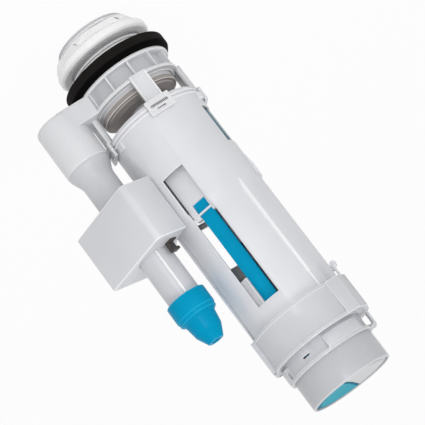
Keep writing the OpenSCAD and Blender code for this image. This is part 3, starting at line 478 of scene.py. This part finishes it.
def addClipBars():
    bm = bmesh.new()
    for turn in clipTurns:
        for i in range(clipBars["count"]):
            addBlock(bm, turn, (i - (clipBars["count"] - 1) / 2) * clipBars["pitch"], clipBars)
    addPiece(bm, "clipBars", "valve_body", "headGrey")


def addClipShade():
    bm = bmesh.new()
    for turn in clipTurns:
        addBlock(bm, turn, 0, clipShade)
    addPiece(bm, "clipShade", "valve_body", "darkClip")


addClipBars()
addClipShade()
print("clip bars added")

# thin face plates of the two buttons, following the dished tops: sizes in mm, split line in degrees
plates = {"radius": 26.2, "segments": 96, "dish": 0.8, "topZ": 273.0, "lift": 0.06, "thick": 0.2, "split": -66.0,
          "inset": 1.3}


def addButtonFace(name, body, side, look):
    bm = bmesh.new()
    made = bmesh.ops.create_circle(bm, cap_ends=True, cap_tris=True, segments=plates["segments"],
                                   radius=plates["radius"] * mm)
    for v in made["verts"]:
        v.co.z = (plates["topZ"] + plates["lift"]) * mm - (plates["dish"] * mm if v.co.length < mm else 0)
    across = math.radians(plates["split"] - 90)
    normal = Vector((math.cos(across), math.sin(across), 0)) * side
    bmesh.ops.bisect_plane(bm, geom=bm.verts[:] + bm.edges[:] + bm.faces[:], plane_co=normal * plates["inset"] * mm,
                           plane_no=normal, clear_inner=True)
    bmesh.ops.recalc_face_normals(bm, faces=bm.faces)
    bmesh.ops.solidify(bm, geom=bm.faces[:], thickness=-plates["thick"] * mm)
    bmesh.ops.recalc_face_normals(bm, faces=bm.faces)
    addPiece(bm, name, body, look)


addButtonFace("fullButtonFace", "full_button", 1, "headGrey")
addButtonFace("halfButtonFace", "half_button", -1, "buttonBlue")
print("button faces added")


# mask of the rays that show a surface to the eye: straight, mirrored or through glass
def addSeenMask(tree):
    rays = tree.nodes.new("ShaderNodeLightPath")
    mask = rays.outputs["Is Camera Ray"]
    for name in ("Is Glossy Ray", "Is Transmission Ray"):
        either = tree.nodes.new("ShaderNodeMath")
        either.operation = "MAXIMUM"
        tree.links.new(mask, either.inputs[0])
        tree.links.new(rays.outputs[name], either.inputs[1])
        mask = either.outputs[0]
    return mask


# pale floor that keeps a shadow and shows nearly white to the camera: sizes in metres, share of white
ground = {"radius": 9.0, "segments": 64, "drop": 0.0005, "tint": (0.86, 0.86, 0.86), "rough": 0.8, "white": 0.94}


def makeFloor():
    bm = bmesh.new()
    bmesh.ops.create_circle(bm, cap_ends=True, segments=ground["segments"], radius=ground["radius"])
    mesh = bpy.data.meshes.new("studioFloor")
    bm.to_mesh(mesh)
    bm.free()
    floor = bpy.data.objects.new("studioFloor", mesh)
    floor.location.z = cadBox[0][2] - ground["drop"]
    scene.collection.objects.link(floor)
    mat = bpy.data.materials.new("paleFloor")
    mat.use_nodes = True
    tree = mat.node_tree
    shader = tree.nodes["Principled BSDF"]
    shader.inputs["Base Color"].default_value = (*ground["tint"], 1)
    shader.inputs["Roughness"].default_value = ground["rough"]
    glow = tree.nodes.new("ShaderNodeEmission")
    share = tree.nodes.new("ShaderNodeMath")
    share.operation = "MULTIPLY"
    share.inputs[1].default_value = ground["white"]
    mix = tree.nodes.new("ShaderNodeMixShader")
    tree.links.new(addSeenMask(tree), share.inputs[0])
    tree.links.new(share.outputs[0], mix.inputs["Fac"])
    tree.links.new(shader.outputs[0], mix.inputs[1])
    tree.links.new(glow.outputs[0], mix.inputs[2])
    tree.links.new(mix.outputs[0], tree.nodes["Material Output"].inputs["Surface"])
    mesh.materials.append(mat)


makeFloor()

# world: white to the camera, softer as light
sky = {"light": 0.61, "tint": (1.0, 1.0, 1.0)}


def makeWorld():
    world = bpy.data.worlds.new("softStudio")
    scene.world = world
    world.use_nodes = True
    tree = world.node_tree
    tree.nodes.clear()
    plain, white = tree.nodes.new("ShaderNodeBackground"), tree.nodes.new("ShaderNodeBackground")
    for background in (plain, white):
        background.inputs["Color"].default_value = (*sky["tint"], 1)
    plain.inputs["Strength"].default_value = sky["light"]
    mix = tree.nodes.new("ShaderNodeMixShader")
    out = tree.nodes.new("ShaderNodeOutputWorld")
    tree.links.new(addSeenMask(tree), mix.inputs["Fac"])
    tree.links.new(plain.outputs[0], mix.inputs[1])
    tree.links.new(white.outputs[0], mix.inputs[2])
    tree.links.new(mix.outputs[0], out.inputs["Surface"])


makeWorld()

# lamps: place along the camera's right, top and back axes and size in metres, power in watts
lamps = {
    "keyLamp": {"place": (0.2, 0.36, 1.0), "size": 0.7, "power": 1.5},
    "fillLamp": {"place": (-0.7, 0.2, 0.8), "size": 0.9, "power": 0.8},
    "endLamp": {"place": (0.5, -0.65, 0.8), "size": 0.4, "power": 2.2},
    "frontLamp": {"place": (-0.04, 0.0, 1.2), "size": 0.12, "power": 1.8},
}


def makeLamps():
    middle = Vector(shot["target"])
    for name, spec in lamps.items():
        data = bpy.data.lights.new(name, "AREA")
        data.shape = "DISK"
        data.size = spec["size"]
        data.energy = spec["power"]
        lamp = bpy.data.objects.new(name, data)
        scene.collection.objects.link(lamp)
        x, y, z = spec["place"]
        lamp.location = middle + rightAxis * x + topAxis * y + backAxis * z
        lamp.rotation_mode = "QUATERNION"
        lamp.rotation_quaternion = (middle - lamp.location).to_track_quat("-Z", "Y")


makeLamps()
scene.view_settings.view_transform = "Standard"
print("studio lit")
